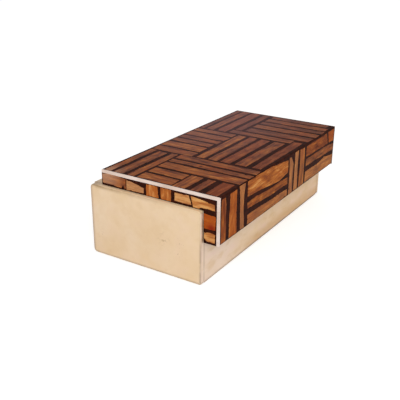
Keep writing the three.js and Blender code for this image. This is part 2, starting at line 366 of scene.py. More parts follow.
# Painted shade: the long sides darken along the very foot, all but the left end, and the left end darkens by
# its back edge
painted_foot_shadow = near_plane(tree, skin_z, 0, 1.5 * MM)
past_left = between(tree, skin_x, -60 * MM, 0.0)
skin_shade = tinted(tree, skin_shade, paint(92, 68, 44), painted_foot_shadow, past_left, on_side, 0.7)
painted_shade_by_back = between(tree, skin_y, 46.6 * MM, 49.4 * MM)
painted_shade_on_left_end = between(tree, skin_x, -103 * MM, -104 * MM)
skin_shade = tinted(tree, skin_shade, paint(140, 106, 92), painted_shade_by_back, painted_shade_on_left_end, 0.38)
# Painted shade up the front, where the lip's ends lie against the skin
painted_lip_shadow = near_plane(tree, skin_x, 104.6 * MM, 1.4 * MM)
above_foot = between(tree, skin_z, 31.5 * MM, 36 * MM)
on_front = between(tree, skin_y, -49 * MM, -49.6 * MM)
broken = between(tree, cloud(tree, place, 150, 4), 0.2, 0.6)
skin_shade = tinted(tree, skin_shade, paint(108, 68, 38), painted_lip_shadow, above_foot, on_front, broken)
skin_relief = sums(tree, "ADD", times(tree, pores, 0.35), mottle)
surfaced(tree, shader, skin_shade, skin_relief, 0.05 * MM)


def along_x(first, second):
    """Whether the edge between two points runs along the box."""
    return abs(first.x - second.x) > MM


def ease(piece, wanted, radius, segments=3):
    """Rounds the wanted edges of the piece."""
    pick(piece, "EDGE", wanted)
    bpy.ops.mesh.bevel(offset=radius, segments=segments, affect="EDGES")


def smooth_off():
    """Leaves edit mode, and shades the piece's rounds smooth and its arrises sharp."""
    bpy.ops.object.mode_set(mode="OBJECT")
    bpy.ops.object.shade_smooth_by_angle(angle=math.radians(35))


def settle():
    """Works the selected pieces' place, turn and scale into their meshes."""
    bpy.ops.object.transform_apply(location=True, rotation=True, scale=True)


def mirror(piece, axis):
    """Mirrors the piece along one axis, and points its faces outwards again."""
    take(piece)
    piece.scale[axis] = -1
    settle()
    bpy.ops.object.mode_set(mode="EDIT")
    bpy.ops.mesh.select_all(action="SELECT")
    bpy.ops.mesh.normals_make_consistent(inside=False)
    bpy.ops.object.mode_set(mode="OBJECT")


left_cover = add_block("left_end_cover", end_low, end_high)
ease(left_cover, lambda a, b: along_x(a, b) and not (a.y < 0 and a.z < NEAR), UPPER_CORNER, 8)
ease(left_cover, lambda a, b: along_x(a, b) and a.y < NEAR - BASE_SIDE and a.z < NEAR, FOOT_CORNER, 4)
pick(left_cover, "FACE", lambda centre, normal: normal.x > FACING)
bpy.ops.mesh.inset(thickness=SKIN)
bpy.ops.mesh.extrude_region_move(TRANSFORM_OT_translate={"value": (SKIN - (BASE_END - SEAM), 0, 0)})
ease(left_cover, lambda a, b: max(a.x, b.x) < end_low.x + NEAR, 0.7 * MM)
smooth_off()

bpy.ops.object.duplicate(linked=False)
right_cover = bpy.context.object
right_cover.name = "right_end_cover"
mirror(right_cover, 0)
for cover, end_node in ((left_cover, "left_end_parchment"), (right_cover, "right_end_parchment")):
    wear_material(cover, parchment)
    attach(cover, "base")
    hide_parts(end_node)


# The long sides' parchment: a sheet up each side, folded over the rim and trimmed at the inner edge.
# It is drawn tight over the board, so that the fold is a soft round and the face a little uneven.
PATCH_LONG = 8.5 * MM
PATCH_HIGH = 8 * MM
UNEVEN = 0.1 * MM
SKIN_WAVES = 30
side_low, side_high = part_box("front_parchment")
front_skin = add_block("front_skin", side_low, side_high)
pick(front_skin, "FACE", lambda centre, normal: max(normal.y, -normal.z, abs(normal.x)) > FACING)
bpy.ops.mesh.delete(type="FACE")
ease(front_skin, lambda a, b: max(a.y, b.y) < NEAR - BASE_SIDE and min(a.z, b.z) > RIM - NEAR, 0.9 * MM, 4)
for step in range(1, 24):
    bpy.ops.mesh.select_all(action="SELECT")
    bpy.ops.mesh.bisect(plane_co=(side_low.x + step * PATCH_LONG, 0, 0), plane_no=(1, 0, 0))
for step in range(1, 7):
    bpy.ops.mesh.select_all(action="SELECT")
    bpy.ops.mesh.bisect(plane_co=(0, 0, step * PATCH_HIGH), plane_no=(0, 0, 1))
bpy.ops.object.mode_set(mode="OBJECT")
for vertex in front_skin.data.vertices:
    if 4 * MM < vertex.co.z < 53 * MM and abs(vertex.co.x) < 100 * MM:
        vertex.co.y += UNEVEN * (1 + noise.noise(vertex.co * SKIN_WAVES))
finish_modifier(front_skin, "SOLIDIFY", thickness=SKIN, offset=-1, use_even_offset=True)
smooth_off()

bpy.ops.object.duplicate(linked=False)
back_skin = bpy.context.object
back_skin.name = "back_skin"
back_skin.rotation_euler.z = math.pi
settle()
for skin, side_node in ((front_skin, "front_parchment"), (back_skin, "back_parchment")):
    wear_material(skin, parchment)
    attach(skin, "base")
    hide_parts(side_node)


# Narrow parchment pieces on the rim of each end, between the folded side sheets, with their inner edge
# eased where the skin turns down behind the lining.
for end in ("left", "right"):
    rim_low, rim_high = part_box(end + "_rim_parchment")
    rim_skin = add_block(end + "_rim_skin", rim_low, rim_high)
    ease(rim_skin, lambda a, b: min(a.z, b.z) > RIM - NEAR and max(abs(a.x), abs(b.x)) < SEAM - NEAR,
         0.3 * MM)
    smooth_off()
    wear_material(rim_skin, parchment)
    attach(rim_skin, "base")
    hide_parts(end + "_rim_parchment")


# The linings: dark brown suede stretched over thin card, glued to the floor and the walls, and under
# the lid. Each has rolled edges and a slightly uneven face.
suede, tree, shader = new_material("suede", 0.92)
nap = cloud(tree, placed(tree), 900, 6, 0.8)
brushed = cloud(tree, placed(tree), 45, 4, 1.2)
suede_shade = graded(tree, brushed, (0.35, paint(58, 40, 32)), (0.65, paint(84, 60, 48)))
suede_shade = tinted(tree, suede_shade, paint(104, 78, 64), between(tree, nap, 0.4, 0.75))
shader.inputs["Sheen Weight"].default_value = 0.35
shader.inputs["Specular IOR Level"].default_value = 0.15
surfaced(tree, shader, suede_shade, nap, 0.15 * MM)

SAG = 0.12 * MM
SUEDE_WAVES = 55
ROLLED_EDGE = 2 * MM
for lined in ("front", "back", "left", "right", "floor", "lid"):
    low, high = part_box(lined + "_lining")
    size = high - low
    thin = min(range(3), key=lambda axis: size[axis])
    lining = add_block(lined + "_suede", low, high)
    bpy.ops.object.mode_set(mode="EDIT")
    bpy.ops.mesh.subdivide(number_cuts=14)
    bpy.ops.object.mode_set(mode="OBJECT")
    middle = (low[thin] + high[thin]) / 2
    for vertex in lining.data.vertices:
        from_edge = min(min(vertex.co[axis] - low[axis], high[axis] - vertex.co[axis])
                        for axis in range(3) if axis != thin)
        if from_edge > ROLLED_EDGE:
            dip = SAG * (1 + noise.noise(vertex.co * SUEDE_WAVES))
            vertex.co[thin] += dip if vertex.co[thin] < middle else -dip
    finish_modifier(lining, "BEVEL", width=0.35 * MM, segments=3, limit_method="ANGLE")
    smooth_off()
    wear_material(lining, suede)
    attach(lining, "lid" if lined == "lid" else "base")
    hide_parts(lined + "_lining")


# The lid's boards, lacquered black: the slab, and the lip glued under its front edge, which has a
# rounded inner corner. The slab keeps its CAD shape, with the holes for the hinge screws.
lacquer, tree, shader = new_material("black_lacquer", 0.32)
drawn = cloud(tree, stretched(tree, placed(tree), (40, 700, 700)), 1, 4)
lacquer_shade = graded(tree, drawn, (0.3, paint(30, 23, 21)), (0.7, paint(44, 34, 30)))
shader.inputs["Specular IOR Level"].default_value = 0.3
surfaced(tree, shader, lacquer_shade, drawn, 0.03 * MM)
for held in frame["nodes"]["lid_board"].material_slots:
    held.material = lacquer

LIP_ROUND = 2.5 * MM
lip_low, lip_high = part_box("lip_board")
lip = add_block("lip", lip_low, lip_high)
ease(lip, lambda a, b: along_x(a, b) and a.y > lip_high.y - NEAR and a.z < lip_low.z + NEAR, LIP_ROUND, 8)
smooth_off()
wear_material(lip, lacquer)
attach(lip, "lid")
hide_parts("lip_board")


# The resin beds: black resin poured round the strips and rubbed down level with them, on the top, on
# the front from the top down to the lip's foot, on the back edge and on both ends.
top_low, top_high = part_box("top_marquetry")
lip_end_low, lip_end_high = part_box("right_lip_marquetry")
LID_END = lip_end_high.x
LID_FRONT = top_low.y
LID_BACK = top_high.y
LID_TOP = top_high.z
SLAB_FOOT = lip_end_high.z
LIP_FOOT = lip_end_low.z
LIP_BACK = lip_end_high.y
FRONT_FOOT = lip_low.z
FLUSH = 0.04 * MM
ARRIS = 1.2 * MM
FOOT_ARRIS = 0.5 * MM
BACK_ARRIS = 0.3 * MM


def with_painted_sheen(tree, shade, amount):
    """The shade with a painted sheen over it on the top, as of light reflected in the lacquer, stronger
    towards the back and the right end.
    """
    spot_x, spot_y, spot_z = coordinates(tree, placed(tree))
    to_right = between(tree, spot_x, -80 * MM, 40 * MM)
    on_top = between(tree, spot_z, LID_TOP - 0.6 * MM, LID_TOP - 0.1 * MM)
    to_back = between(tree, spot_y, -70 * MM, 40 * MM)
    return tinted(tree, shade, paint(134, 104, 110), to_right, on_top, to_back, amount)


resin, tree, shader = new_material("black_resin", 0.4)
murk = cloud(tree, placed(tree), 220, 4, 0.6)
resin_shade = graded(tree, murk, (0.35, paint(32, 8, 2)), (0.68, paint(62, 22, 8)))
shader.inputs["Specular IOR Level"].default_value = 0
shader.inputs["Coat Weight"].default_value = 0.08
shader.inputs["Coat Roughness"].default_value = 0.1
# A painted sheen lies over the resin's colour on the top
surfaced(tree, shader, with_painted_sheen(tree, resin_shade, 0.22), murk, 0.03 * MM)


def add_bed(node, low_cut, high_cut, softened, radius):
    """A bed the size of its node, less the cuts, with the edges that are softened rounded."""
    low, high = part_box(node)
    bed = add_block(node.replace("marquetry", "resin"), low + Vector(low_cut), high - Vector(high_cut))
    ease(bed, softened, radius, 4)
    smooth_off()
    wear_material(bed, resin)
    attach(bed, "lid")
    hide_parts(node)


def long_edge(y, z):
    """The test for the edge along X at that depth and height."""
    def is_there(a, b):
        return along_x(a, b) and abs(a.y - y) < 2 * NEAR and abs(a.z - z) < 2 * NEAR
    return is_there


add_bed("top_marquetry", (0, FLUSH, 0), (0, 0, FLUSH), long_edge(LID_FRONT, LID_TOP), ARRIS - FLUSH)
add_bed("lip_marquetry", (0, FLUSH, 0), (0, 0, 0), long_edge(LID_FRONT, FRONT_FOOT), FOOT_ARRIS)
add_bed("back_edge_marquetry", (0, 0, 0), (0, FLUSH, 0), long_edge(LID_BACK, SLAB_FOOT), BACK_ARRIS)
for end, cuts in (("left", ((FLUSH, 0, 0), (0, 0, 0))), ("right", ((0, 0, 0), (FLUSH, 0, 0)))):
    add_bed(end + "_slab_marquetry", *cuts, long_edge(LID_BACK, SLAB_FOOT), BACK_ARRIS)
    add_bed(end + "_lip_marquetry", *cuts, long_edge(LIP_BACK, LIP_FOOT), LIP_ROUND)


# The palm-wood strips: split by hand, 6 to 11 mm wide, so that they taper and their edges waver. They
# are laid like basket work, a few side by side and then a few across, and lacquered over.
chance = random.Random(5)
palm, tree, shader = new_material("palm_wood", 0.42)
grained = placed(tree, "UV")
fibres = cloud(tree, stretched(tree, grained, (110, 1500, 1)), 1, 6, 0.3)
streaks = cloud(tree, stretched(tree, grained, (45, 420, 1)), 1, 4, 0.5)
flecks = cloud(tree, stretched(tree, grained, (420, 4200, 1)), 1, 3)
patches = cloud(tree, stretched(tree, grained, (70, 160, 1)), 1, 3, 0.8)


def strip_value(tree, name):
    """What a strip holds for itself: its tone, or how bleached or ruddy it is, from 0 to 1."""
    attribute = tree.nodes.new("ShaderNodeAttribute")
    attribute.attribute_name = name
    return attribute.outputs["Fac"]


lightness = strip_value(tree, "tone")
for figure, weight in ((fibres, 0.75), (streaks, 1.15), (patches, 0.95)):
    change = times(tree, sums(tree, "SUBTRACT", figure, 0.5), weight)
    lightness = sums(tree, "ADD", lightness, change)
palm_shade = graded(tree, lightness, (0.0, paint(80, 38, 24)), (0.25, paint(120, 64, 38)),
                    (0.5, paint(152, 85, 40)), (0.75, paint(186, 112, 52)), (1.0, paint(222, 162, 96)))
# Some lengths are a deeper orange, and a few strips all over
orange = between(tree, cloud(tree, stretched(tree, grained, (60, 110, 1)), 1, 2), 0.5, 0.7)
orange = sums(tree, "MAXIMUM", times(tree, orange, 0.3), strip_value(tree, "ruddy"))
palm_shade = tinted(tree, palm_shade, paint(172, 78, 22), orange)
palm_shade = tinted(tree, palm_shade, paint(190, 148, 108), strip_value(tree, "bleached"))
# A dark red knot in the lip's upper block at the left end, a small knot with an orange ring on the top,
# and a bleached patch at the left end by the back edge
lid_place = placed(tree)
knot_place = (-57.6 * MM, -18.4 * MM, LID_TOP)
end_knot = near_point(tree, lid_place, (-LID_END, -56.5 * MM, 45.6 * MM), 6 * MM)
knot_ring = near_point(tree, lid_place, knot_place, 6.5 * MM)
knot = near_point(tree, lid_place, knot_place, 3 * MM)
bleached = near_point(tree, lid_place, (-LID_END, 37 * MM, 68 * MM), 20 * MM)
palm_shade = tinted(tree, palm_shade, paint(138, 40, 14), end_knot)
palm_shade = tinted(tree, palm_shade, paint(184, 98, 40), knot_ring, 0.7)
palm_shade = tinted(tree, palm_shade, paint(56, 24, 14), knot)
palm_shade = tinted(tree, palm_shade, paint(198, 158, 128), bleached, 0.55)
# Dark flecks along the grain
palm_shade = tinted(tree, palm_shade, paint(66, 32, 22), between(tree, flecks, 0.56, 0.68), 0.45)
shader.inputs["Specular IOR Level"].default_value = 0
shader.inputs["Coat Weight"].default_value = 0.13
shader.inputs["Coat Roughness"].default_value = 0.1
# A painted sheen lies over the palm wood's colour on the top
surfaced(tree, shader, with_painted_sheen(tree, palm_shade, 0.3), fibres, 0.04 * MM)
# The front, the back edge and the ends are less polished than the top
side_palm = palm.copy()
side_palm.name = "palm_wood_sides"
side_palm.node_tree.nodes["Principled BSDF"].inputs["Coat Weight"].default_value = 0.06


# Slow sways, quick ripples and chips along a strip's edge: how many to a mm, and how deep in mm
SWAYS, SWAY = 0.07, 0.55
RIPPLES, RIPPLE = 0.4, 0.22
CHIPS, CHIP, CHIPPED_PAST = 0.5, 1.6, 0.3


def cut_strip(outline, grain, tone, bleached=0, ruddy=0, depth=1.1):
    """A strip lying face up at height 0. Its outline, in mm, goes round anticlockwise, and its grain
    runs along x or y. Its edges waver, as split wood does, and are chipped here and there."""
    shift = Vector((chance.uniform(0, 900), chance.uniform(0, 900), 0))
    rim = []
    for first, second in zip(outline, outline[1:] + outline[:1]):
        side = Vector((*second, 0)) - Vector((*first, 0))
        inward = Vector((-side.y, side.x, 0)).normalized()
        steps = max(2, round(side.length))
        for step in range(steps):
            spot = Vector((*first, 0)) + side * step / steps
            wave = noise.noise_vector(spot * SWAYS + shift) * SWAY
            wave += noise.noise_vector(spot * RIPPLES + shift) * RIPPLE
            wave.z = 0
            chip = max(0, noise.noise(spot * CHIPS - shift) - CHIPPED_PAST) * CHIP
            rim.append((spot + wave + inward * chip) * MM)
    bpy.ops.object.select_all(action="DESELECT")
    bpy.ops.mesh.primitive_circle_add(vertices=len(rim), fill_type="NGON")
    strip = bpy.context.object
    for vertex, spot in zip(strip.data.vertices, rim):
        vertex.co = spot
    bpy.ops.object.mode_set(mode="EDIT")
    bpy.ops.mesh.select_all(action="SELECT")
    bpy.ops.mesh.extrude_region_move(TRANSFORM_OT_translate={"value": (0, 0, -depth * MM)})
    bpy.ops.mesh.select_all(action="SELECT")
    bpy.ops.mesh.normals_make_consistent(inside=False)
    bpy.ops.object.mode_set(mode="OBJECT")
    for loop, spot in zip(strip.data.loops, strip.data.uv_layers.active.data):
        point = strip.data.vertices[loop.vertex_index].co + shift * MM
        spot.uv = (point.x, point.y) if grain == "x" else (point.y, point.x)
    for name, value in (("tone", tone), ("bleached", bleached), ("ruddy", ruddy)):
        for face in strip.data.attributes.new(name, "FLOAT", "FACE").data:
            face.value = value
    return strip


def oblong(left, right, low, high):
    """An oblong outline in mm, each corner a little off square."""
    off = 0.3
    corners = ((left, low), (right, low), (right, high), (left, high))
    return [(x + chance.uniform(-off, off), y + chance.uniform(-off, off)) for x, y in corners]


def lay_strips(name, strips, turn, place, finish):
    """Joins the strips of one face of the lid, and stands them up on it."""
    take(*strips)
    bpy.ops.object.join()
    sheet = bpy.context.object
    sheet.name = name
    sheet.rotation_euler = turn
    sheet.location = place
    settle()
    wear_material(sheet, finish)
    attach(sheet, "lid")
    return sheet


def bend_over(sheet, from_top):
    """Lays the strips' ends round the lid's top front arris, from the top or up from the front. Five cuts
    across them let them bend, by not quite a quarter turn."""
    cuts, apart, furthest = 5, 0.22 * ARRIS, 1.2
    bpy.ops.object.mode_set(mode="EDIT")
    for step in range(cuts):
        back = ARRIS - apart * step
        centre = (0, LID_FRONT + back, 0) if from_top else (0, 0, LID_TOP - back)
        bpy.ops.mesh.select_all(action="SELECT")
        bpy.ops.mesh.bisect(plane_co=centre, plane_no=(0, 1, 0) if from_top else (0, 0, 1))
    bpy.ops.object.mode_set(mode="OBJECT")
    for vertex in sheet.data.vertices:
        inwards, down = vertex.co.y - LID_FRONT, LID_TOP - vertex.co.z
        along, depth = (inwards, down) if from_top else (down, inwards)
        if along < ARRIS:
            angle = min((ARRIS - along) / ARRIS, furthest)
            radius = ARRIS - depth
            level, upright = radius * math.sin(angle), radius * math.cos(angle)
            if not from_top:
                level, upright = upright, level
            vertex.co.y = LID_FRONT + ARRIS - level
            vertex.co.z = LID_TOP - ARRIS + upright
    smooth_off()


# The top's strips: the tone of each, how ruddy it is if it runs along the box, and its left, right,
# front and back edge in mm from the lid's front left corner. Rubbing down has narrowed each a little.
RUBBED = 0.35
top_along = [
    (0.31, 0, 1.7, 60.4, 95.8, 102.2), (0.24, 0, 1.7, 59, 84.4, 93.2), (0.3, 0, 1.7, 59.6, 74.4, 81),
    (0.44, 0, 1.7, 26.6, 29.2, 40.2), (0.14, 0.1, 1.7, 26.2, 18.4, 25.8), (0.04, 0.3, 1.7, 26.2, 3.3, 13.8),
    (0.42, 0, 63.6, 133.4, 52.2, 60.6), (0.31, 0, 64, 133.4, 41, 49.4), (0.2, 0.2, 64.4, 133.4, 29, 38.6),
    (0.29, 0, 65, 133.4, 15.4, 25.8), (0.1, 0.18, 65, 142, 3.2, 11.4),
    (0.19, 0, 136, 206, 97.8, 102.2), (0.32, 0.05, 135.6, 206, 87.6, 95.8), (0.2, 0.3, 136, 206, 75.6, 84.8),
    (0.14, 0.15, 147.4, 206, 65.2, 71.9),
]
top_across = [
    (0.42, 1.8, 13.3, 41.4, 71.8), (0.43, 15.7, 26.4, 41.4, 71.8), (0.41, 28.6, 40.9, 0.9, 72.8),
    (0.25, 43.1, 49.8, 0.8, 72.6), (0.26, 52.4, 61.6, 0.9, 72.4),
    (0.34, 62.3, 72.6, 63.6, 102.2), (0.5, 75, 87.4, 64.4, 102.4), (0.26, 90, 98.8, 64.4, 102.4),
    (0.32, 101, 109, 63.2, 102.4), (0.38, 111.3, 122.4, 62.4, 102.4), (0.39, 124.8, 133.6, 62.6, 102.4),
    (0.28, 136.2, 145.3, 12.8, 72.6),
    (0.18, 148, 159.8, 1.2, 62.2), (0.31, 162.6, 173, 0.9, 62.4), (0.1, 175.6, 184, 0.9, 62),
    (0.29, 186.2, 196, 1.8, 61.6), (0.21, 198, 205.6, 5, 61),
]
top_strips = []
for tone, ruddy, left, right, front, back in top_along:
    top_strips.append(cut_strip(oblong(left, right, front + RUBBED, back - RUBBED), "x", tone, 0, ruddy))
for tone, left, right, front, back in top_across:
    top_strips.append(cut_strip(oblong(left + RUBBED, right - RUBBED, front, back), "y", tone))
bend_over(lay_strips("top_strips", top_strips, (0, 0, 0), (-LID_END, LID_FRONT, LID_TOP), palm), True)

# The front's strips: how light, how bleached and how ruddy each is, and its outline in mm from the
# left end and up from the lip's foot
front_upright = [
    (0.35, 0, 0.15,
     [(1.5, 1.7), (8.1, 1.7), (8.9, 12), (7.9, 21), (8.7, 28), (7.8, 34.6), (2.4, 34.6), (1.6, 18)]),
    (0.56, 0, 0.4, [(13, 1.7), (23.9, 1.7), (23.5, 20), (23.6, 35.4), (13.7, 35.2), (13.2, 18)]),
    (0.48, 0.2, 0, [(29, 1.7), (34.7, 1.7), (33.8, 18), (34.4, 28), (36, 36.2), (27.2, 36.2), (28.4, 26)]),
    (0.42, 0.22, 0, [(110.8, 1.7), (118, 1.7), (117.4, 14), (118.2, 26), (114.2, 33), (110.6, 33.6)]),
    (0.56, 0.25, 0, [(120.8, 1.7), (127.8, 1.7), (127, 18), (127.6, 35.4), (120.4, 35.2), (121.2, 20)]),
    (0.49, 0.1, 0, [(131, 1.7), (140.6, 1.7), (140, 34.9), (130.5, 34.8), (131.6, 18)]),
]
front_level = [
    (0.62, 0, 0.1,
     [(39.6, 24), (62, 22.8), (86, 20.3), (93, 19.7), (108.2, 22.2), (108, 32.6), (92, 34.2), (80, 35.7),
      (62, 36.1), (39.6, 36.1)]),
    (0.38, 0, 0,
     [(39.8, 14.7), (60, 13.6), (84, 12.1), (108.2, 12.1), (108, 18), (75, 18.4), (54, 20.1), (39.8, 19.4)]),
    (0.48, 0.15, 0, [(40, 1.7), (108.2, 1.7), (108, 7.6), (62, 9), (40, 9.6)]),
    (0.3, 0, 0.1, [(144, 25.2), (175, 24.4), (192.2, 24.2), (188.8, 34.6), (144, 34.6)]),
    (0.26, 0.08, 0, [(144, 16.6), (172, 15.8), (205.9, 15), (205.9, 21), (180, 23), (144, 22.6)]),
    (0.49, 0.18, 0, [(144, 1.7), (205.9, 1.7), (205.9, 9.8), (186, 13.2), (176, 11.6), (144, 11.6)]),
]
front_strips = [cut_strip(outline, "y", *looks) for *looks, outline in front_upright]
front_strips += [cut_strip(outline, "x", *looks) for *looks, outline in front_level]
bend_over(lay_strips("front_strips", front_strips, (math.pi / 2, 0, 0), (-LID_END, LID_FRONT, LIP_FOOT),
                     side_palm), False)

# An end's strips, in mm from the back edge and up from the lip's foot: long ones and short upright
# blocks along the slab, and two blocks down the lip. Each has its tone, how bleached and how ruddy it
# is, its grain and its outline.
end_strips = [
    (0.48, 0.05, 0.1, "x",
     [(0.8, 26.2), (12, 25.8), (18.2, 25.4), (20.2, 28.4), (22, 25.6), (22.8, 25.4), (22.6, 33.3),
      (16, 34), (0.8, 34.1)]),
    (0.68, 0.45, 0, "x", [(23.4, 25.2), (39.2, 26), (39.3, 30.2), (31, 31.8), (23.3, 33.1)]),
    (0.78, 0, 0.35, "y", [(41.3, 25), (52.7, 25), (52, 29), (51.3, 33.9), (41.4, 33.9)]),
    (0.6, 0, 0.2, "y", [(54.4, 25), (63.4, 25), (63.6, 33.9), (54.3, 33.9)]),
    (0.88, 0.2, 0.1, "x", [(66.2, 26.3), (80.4, 26.1), (78.1, 33), (66.2, 32.5)]),
    (0.72, 0.05, 0, "x",
     [(81.8, 25.2), (86.6, 25.3), (88, 26.2), (99.5, 26.3), (99.5, 30.7), (90, 31.8), (79.8, 33.1)]),
    (0.6, 0, 0.85, "x", [(90.9, 11.5), (100.2, 11.4), (100.2, 21.9), (90.9, 22.6)]),
    (0.9, 0.1, 0, "x", [(93.2, 1.7), (100.1, 1.5), (100.2, 8.1), (96, 8.9), (90.9, 8.2), (90.9, 3.8)]),
]
END_DEPTH = 0.5
for end, side in (("left", -1), ("right", 1)):
    blocks = []
    for tone, bleached, ruddy, grain, outline in end_strips:
        if side > 0:
            outline = [(-across, up) for across, up in reversed(outline)]
        blocks.append(cut_strip(outline, grain, tone, bleached, ruddy, END_DEPTH))
    lay_strips(end + "_end_strips", blocks, (math.pi / 2, 0, side * math.pi / 2),
               (side * LID_END, LID_BACK, LIP_FOOT), side_palm)

# The back edge's strips, in mm: pairs of long ones, and threes of short upright blocks, in turn
BACK_LENGTH = 205.4
LAST_START = 196
back_strips = []
reach = 1.8
while reach < LAST_START:
    run = min(chance.uniform(30, 46), BACK_LENGTH - reach)
    for low, high in ((1.1, 4.7), (6.4, 9.9)):
        back_strips.append(cut_strip(oblong(reach, reach + run, low, high), "x", chance.uniform(0.3, 0.7)))
    reach += run + 2
    for block in range(3):
        if reach < LAST_START:
            broad = chance.uniform(6, 9)
            block_outline = oblong(reach, reach + broad, 1.1, 9.9)
            back_strips.append(cut_strip(block_outline, "y", chance.uniform(0.3, 0.7)))
            reach += broad + 1.8
lay_strips("back_strips", back_strips, (math.pi / 2, 0, math.pi), (LID_END, LID_BACK, SLAB_FOOT), side_palm)

# A short piece ends the front's upper right strip, past a slanting joint
corner_strip = cut_strip([(194.8, 24.3), (205.9, 24), (205.9, 35), (191.6, 35)], "x", 0.46, 0, 0.5)
bend_over(lay_strips("front_corner_strip", [corner_strip], (math.pi / 2, 0, 0),
                     (-LID_END, LID_FRONT, LIP_FOOT), side_palm), False)


# Bone stringing: two strips 2.4 mm wide on each end of the lid, along the top and down the front edge,
# mitred where they meet and polished. The outer arrises are eased.
bone, tree, shader = new_material("bone", 0.32)
place = placed(tree)
tubules = cloud(tree, stretched(tree, place, (900, 160, 900)), 1, 4, 0.4)
yellowing = cloud(tree, place, 70, 3)
bone_shade = graded(tree, yellowing, (0.35, paint(212, 186, 168)), (0.65, paint(230, 210, 199)))
bone_shade = tinted(tree, bone_shade, paint(190, 164, 146), between(tree, tubules, 0.55, 0.75), 0.45)
shader.inputs["Coat Weight"].default_value = 0.2
shader.inputs["Coat Roughness"].default_value = 0.1
surfaced(tree, shader, bone_shade, tubules, 0.03 * MM)

STRING_WIDTH = 2.4 * MM
for end, side in (("left", -1), ("right", 1)):
    for run in ("top", "front"):
        low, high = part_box(f"{end}_{run}_string")
        string = add_block(f"{end}_{run}_bone", low, high)
        for vertex in string.data.vertices:
            if run == "top" and vertex.co.y < 0 and vertex.co.z < LID_TOP - NEAR:
                vertex.co.y += STRING_WIDTH
            if run == "front" and vertex.co.y > LID_FRONT + NEAR and vertex.co.z > LID_TOP - NEAR:
                vertex.co.z -= STRING_WIDTH
        outer = side * LID_END
        ease(string, lambda a, b: max(abs(a.x - outer), abs(b.x - outer)) < NEAR
             and (min(a.z, b.z) > LID_TOP - NEAR or max(a.y, b.y) < LID_FRONT + NEAR), 0.25 * MM)
        smooth_off()
        wear_material(string, bone)
        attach(string, "lid")
        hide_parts(f"{end}_{run}_string")


# Two brass butt hinges on the back rim. Each has a leaf flat on the rim and one upright on the lid's
# back edge, three knuckles round a pin, and two countersunk screws in each leaf.
brass, tree, shader = new_material("brass", 0.34)
place = placed(tree)
drawn = cloud(tree, stretched(tree, place, (120, 2600, 2600)), 1, 4)
tarnish = cloud(tree, place, 260, 4, 0.3)
brass_shade = graded(tree, tarnish, (0.3, paint(168, 130, 74)), (0.65, paint(200, 164, 100)))
tree.links.new(graded(tree, tarnish, (0.3, (0.46, 0.46, 0.46, 1)), (0.7, (0.34, 0.34, 0.34, 1))),
               shader.inputs["Roughness"])
shader.inputs["Metallic"].default_value = 1
surfaced(tree, shader, brass_shade, drawn, 0.02 * MM)

HINGE_AXIS_Y, HINGE_AXIS_Z = frame["joints"][0]["pos_m"][1:]
AXIS_RISE = HINGE_AXIS_Z - RIM
HINGE_X = 62 * MM
LEAF_LENGTH = 24 * MM
LEAF_THICK = 1 * MM
LEAF_REACH = 6.8 * MM
LEAF_START = 0.4 * MM
LEAF_ENDS = LEAF_LENGTH / 2
KNUCKLE_ENDS = LEAF_LENGTH / 6
KNUCKLE = 1.6 * MM
KNUCKLE_GAP = 0.15 * MM
PIN = 0.7 * MM
SCREW_OUT = 4.6 * MM
SCREW_APART = 8 * MM
ALL_ROUND = 32


def add_rod(radius, depth, centre, turn=(0, math.pi / 2, 0), sides=ALL_ROUND):
    """A round bar, along X unless it is turned another way."""
    bpy.ops.object.select_all(action="DESELECT")
    bpy.ops.mesh.primitive_cylinder_add(vertices=sides, radius=radius, depth=depth, location=centre,
                                        rotation=turn)
    settle()
    return bpy.context.object


def add_knuckle(start, finish):
    """A knuckle with eased rims, and a shallow bore where the pin's end shows."""
    knuckle = add_rod(KNUCKLE, finish - start, ((start + finish) / 2, 0, 0))
    pick(knuckle, "FACE", lambda centre, normal: abs(normal.x) > FACING)
    bpy.ops.mesh.bevel(offset=0.15 * MM, segments=2, affect="EDGES")
    pick(knuckle, "FACE", lambda centre, normal: abs(normal.x) > FACING)
    bpy.ops.mesh.inset(thickness=0.62 * MM, use_individual=True)
    for way in (-1, 1):
        pick(knuckle, "FACE", lambda centre, normal: normal.x * way > FACING and centre.yz.length < NEAR)
        bpy.ops.mesh.extrude_region_move(TRANSFORM_OT_translate={"value": (-way * 0.5 * MM, 0, 0)})
    bpy.ops.object.mode_set(mode="OBJECT")
    return knuckle


def cut_away(piece, cutter):
    """Takes the cutter's shape out of the piece."""
    finish_modifier(piece, "BOOLEAN", operation="DIFFERENCE", object=cutter, solver="EXACT")
    bpy.data.objects.remove(cutter)


